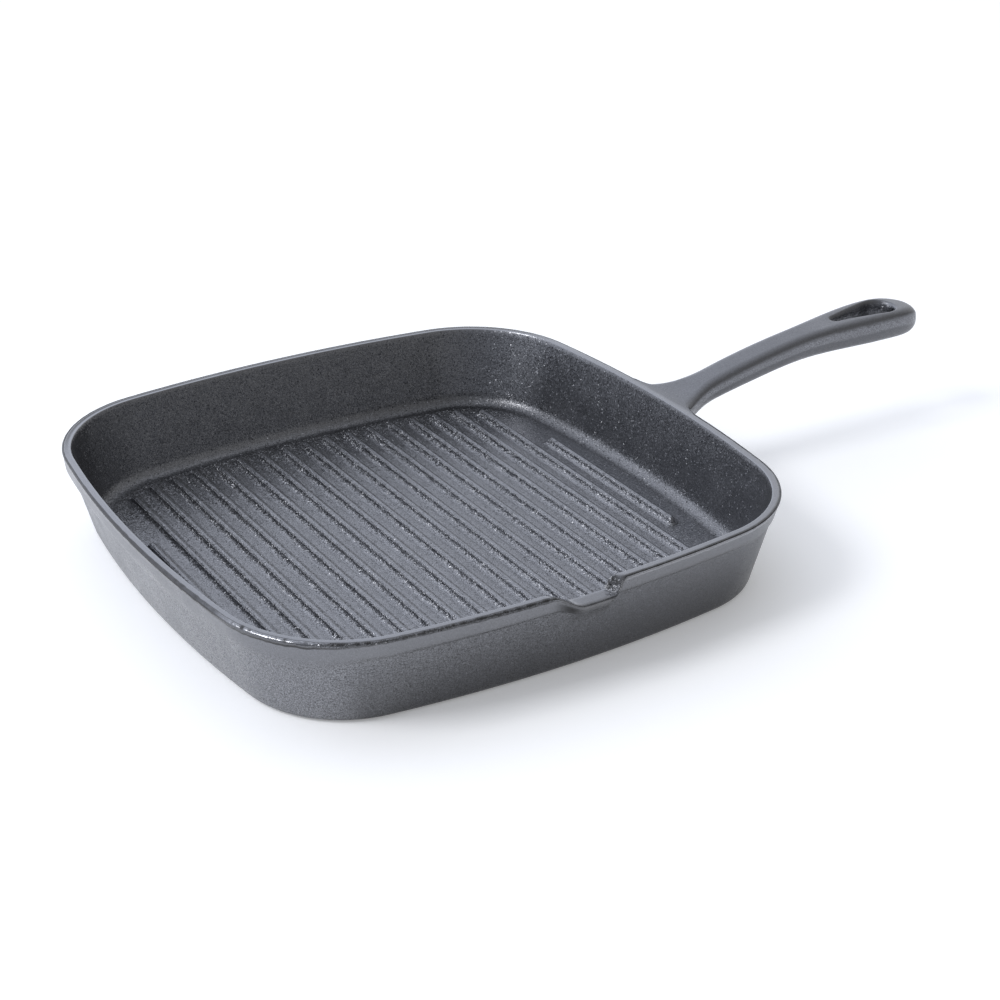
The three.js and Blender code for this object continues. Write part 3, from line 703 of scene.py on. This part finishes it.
def ribSection(height):
    # half of the section from the middle of the crest to the foot: across, up, grit
    crest, edge, draft, foot = rib["crestHalf"], rib["crestRound"], rib["draft"], rib["footFillet"]
    shoulder = height - rib["crestDome"]
    rows = []
    for t in np.linspace(0, 1, rib["crestSteps"] + 1)[:-1]:
        rows.append(((crest - edge) * t, mix(height, shoulder, t * t), rib["crestGrit"]))
    for a in np.linspace(math.pi / 2, math.atan(draft), rib["edgeSteps"] + 1):
        across, up = crest - edge + edge * math.cos(a), shoulder - edge + edge * math.sin(a)
        rows.append((across, up, rib["edgeGrit"]))
    flankTop = rows[-1]
    flankFoot = crest + draft * (shoulder - foot)
    for t in np.linspace(0, 1, rib["flankSteps"] + 1)[1:]:
        rows.append((mix(flankTop[0], flankFoot, t), mix(flankTop[1], foot, t), rib["flankGrit"]))
    for t in np.linspace(0, 1, rib["footSteps"] + 1)[1:]:
        a = math.pi * (1 + t / 2)
        grit = mix(rib["flankGrit"], rib["footGrit"], t)
        rows.append((flankFoot + foot + foot * math.cos(a), foot + foot * math.sin(a), grit))
    rows.append((rows[-1][0] + rib["footLip"], -rib["lipSink"], rib["footGrit"]))
    return np.array(rows)


def buildRib(name, seed):
    low, high = (np.array(corner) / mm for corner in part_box(name))
    middle, halfLength = (low + high) / 2, (high[1] - low[1]) / 2
    right = ribSection(high[2] - floorTop)
    skin = np.concatenate([right[::-1], (right * [-1, 1, 1])[1:]])
    across = np.concatenate([skin[:, 0], [skin[-1, 0], skin[0, 0]]])
    up = np.concatenate([skin[:, 1], [-rib["sink"], -rib["sink"]]])
    grit = np.concatenate([skin[:, 2], [0, 0]])
    count = len(across)
    steps = int(round(2 * halfLength / rib["step"]))
    farSlope, farShort = rib["farSlope"], rib["farShort"]
    if halfLength < rib["longFrom"]:  # the short outer ribs end alike
        farSlope, farShort = rib["nearSlope"], 0
    along = np.linspace(-halfLength, halfLength - farShort, steps + 1)
    share = smoothstep(along[-1] - along, 0, farSlope) * smoothstep(halfLength + along, 0, rib["nearSlope"])
    x = np.broadcast_to(middle[0] + across, (steps + 1, count))
    y = np.broadcast_to((middle[1] + along)[:, None], (steps + 1, count))
    z = floorTop + np.where(up > 0, up * mix(rib["endShare"], 1, share[:, None]), up)
    points = np.stack([x, y, z], -1).reshape(-1, 3)
    lumps = rib["flankRelief"] * np.tile(np.where(up > 0, np.minimum(grit, 1), 0), steps + 1)
    lumps = lumps * grain(points, rib["flankGrain"], seed) * np.repeat(share, count)
    points[:, 0] += lumps * np.sign(points[:, 0] - middle[0])
    points[:, 2] = np.minimum(points[:, 2] + rib["upRelief"] * lumps, high[2])
    faces = []
    for i in range(steps):
        for j in range(count):
            a, b = i * count + j, i * count + (j + 1) % count
            faces.append((a, b, b + count, a + count))
    faces.append(list(range(count))[::-1])
    faces.append([steps * count + j for j in range(count)])
    marks = [(0, value, 0) for value in np.tile(grit, steps + 1)]
    made = addPiece(name + "_cast", points, faces, marks, iron)
    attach(made, "root")
    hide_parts(name)
    return made


ribNames = sorted(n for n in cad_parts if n.startswith("rib_"))
ribPieces = [buildRib(name, seed) for seed, name in enumerate(ribNames)]
print("ribs:", len(ribPieces), "of", sum(len(r.data.polygons) for r in ribPieces), "faces")

# White studio table: a soft lamp at the left, a bright wall behind, less light from the viewer's side.
studio = {
    "floorHalf": 6.0, "floorDrop": 0.0001, "floorColour": "#f4f5f7", "floorGlow": 0.21,
    "keyFrom": (-2.3, 0.4, 2.3), "keySize": 1.1, "keyPower": 40, "aim": (0.05, 0, 0.02),
    "sky": 0.77, "skyBehind": 0.92, "skyRight": -0.27, "skyLeast": 0.44, "skyMost": 1.7,
    "skyColour": "#eff4ff", "frontColour": "#f6f6f6", "coolLeft": -1.2, "neutralTo": -1.0, "coolFrom": 0.3,
}


def floorMaterial():
    # matt white paper that stays white where the lamp falls off, as an overexposed studio floor does
    material = bpy.data.materials.new("mattWhitePaper")
    material.use_nodes = True
    tree = material.node_tree
    tree.nodes.clear()
    paper = addNode(tree, "ShaderNodeBsdfDiffuse", {"Color": linear(studio["floorColour"])})[0]
    rays = addNode(tree, "ShaderNodeLightPath")
    seen = addNode(tree, "ShaderNodeMath", {
        0: rays["Is Camera Ray"], 1: rays["Is Glossy Ray"]}, operation="MAXIMUM")[0]
    seen = addNode(tree, "ShaderNodeMath", {0: seen, 1: rays["Is Transmission Ray"]}, operation="MAXIMUM")[0]
    glow = addNode(tree, "ShaderNodeMath", {0: seen, 1: studio["floorGlow"]}, operation="MULTIPLY")[0]
    light = addNode(tree, "ShaderNodeEmission", {"Strength": glow})[0]
    both = addNode(tree, "ShaderNodeAddShader", {0: paper, 1: light})[0]
    addNode(tree, "ShaderNodeOutputMaterial", {"Surface": both})
    return material


def layFloor():
    half, z = studio["floorHalf"], -studio["floorDrop"]  # just clear of the pan's flat underside
    mesh = bpy.data.meshes.new("studioFloor")
    corners = [(-half, -half, z), (half, -half, z), (half, half, z), (-half, half, z)]
    mesh.from_pydata(corners, [], [(0, 1, 2, 3)])
    mesh.materials.append(floorMaterial())
    floor = bpy.data.objects.new("studioFloor", mesh)
    bpy.context.scene.collection.objects.link(floor)


def hangLamp():
    lamp = bpy.data.lights.new("key", "AREA")
    lamp.shape = "SQUARE"
    lamp.size = studio["keySize"]
    lamp.energy = studio["keyPower"]
    holder = bpy.data.objects.new("key", lamp)
    holder.location = studio["keyFrom"]
    holder.rotation_euler = (Vector(studio["aim"]) - holder.location).to_track_quat("-Z", "Y").to_euler()
    bpy.context.scene.collection.objects.link(holder)


def lightSky():
    # brighter behind and at the left, cool there and neutral towards the viewer
    world = bpy.data.worlds.new("studio")
    world.use_nodes = True
    bpy.context.scene.world = world
    tree = world.node_tree
    tree.nodes.clear()
    direction = addNode(tree, "ShaderNodeTexCoord")["Generated"]
    axes = addNode(tree, "ShaderNodeSeparateXYZ", {"Vector": direction})
    strength = addNode(tree, "ShaderNodeMath", {
        0: axes["Y"], 1: studio["skyBehind"], 2: studio["sky"]}, operation="MULTIPLY_ADD")[0]
    strength = addNode(tree, "ShaderNodeMath", {
        0: axes["X"], 1: studio["skyRight"], 2: strength}, operation="MULTIPLY_ADD")[0]
    strength = addNode(tree, "ShaderNodeMath", {0: strength, 1: studio["skyLeast"]}, operation="MAXIMUM")[0]
    strength = addNode(tree, "ShaderNodeMath", {0: strength, 1: studio["skyMost"]}, operation="MINIMUM")[0]
    cool = addNode(tree, "ShaderNodeMath", {
        0: axes["X"], 1: studio["coolLeft"], 2: axes["Y"]}, operation="MULTIPLY_ADD")[0]
    cool = addNode(tree, "ShaderNodeMapRange", {
        "Value": cool, "From Min": studio["neutralTo"], "From Max": studio["coolFrom"]})[0]
    tint = addNode(tree, "ShaderNodeMix", {
        0: cool, 6: linear(studio["frontColour"]), 7: linear(studio["skyColour"])}, data_type="RGBA")[2]
    sky = addNode(tree, "ShaderNodeBackground", {"Color": tint, "Strength": strength})[0]
    addNode(tree, "ShaderNodeOutputWorld", {"Surface": sky})


layFloor()
hangLamp()
lightSky()
print("studio: floor", 2 * studio["floorHalf"], "m wide, lamp of", studio["keyPower"], "W")

# Camera as in the photograph: low over the near corner, spout towards the viewer, handle to the right.
camera = {
    "place": (-0.37513, -0.67272, 0.40842), "aim": (0.053262, 0.017027, 0.0),
    "lens": 72.96, "sensor": 36, "roll": 0.153, "clipStart": 0.01, "clipEnd": 50,
}


def addCamera():
    lens = bpy.data.cameras.new("camera")
    lens.lens = camera["lens"]
    lens.sensor_width = camera["sensor"]
    lens.clip_start = camera["clipStart"]
    lens.clip_end = camera["clipEnd"]
    holder = bpy.data.objects.new("camera", lens)
    holder.location = camera["place"]
    look = (Vector(camera["aim"]) - holder.location).to_track_quat("-Z", "Y")
    holder.rotation_mode = "QUATERNION"
    holder.rotation_quaternion = look @ Quaternion((0, 0, 1), math.radians(camera["roll"]))
    bpy.context.scene.collection.objects.link(holder)
    bpy.context.scene.camera = holder


addCamera()
print("camera:", camera["lens"], "mm lens")
bpy.context.scene.view_settings.view_transform = "Standard"
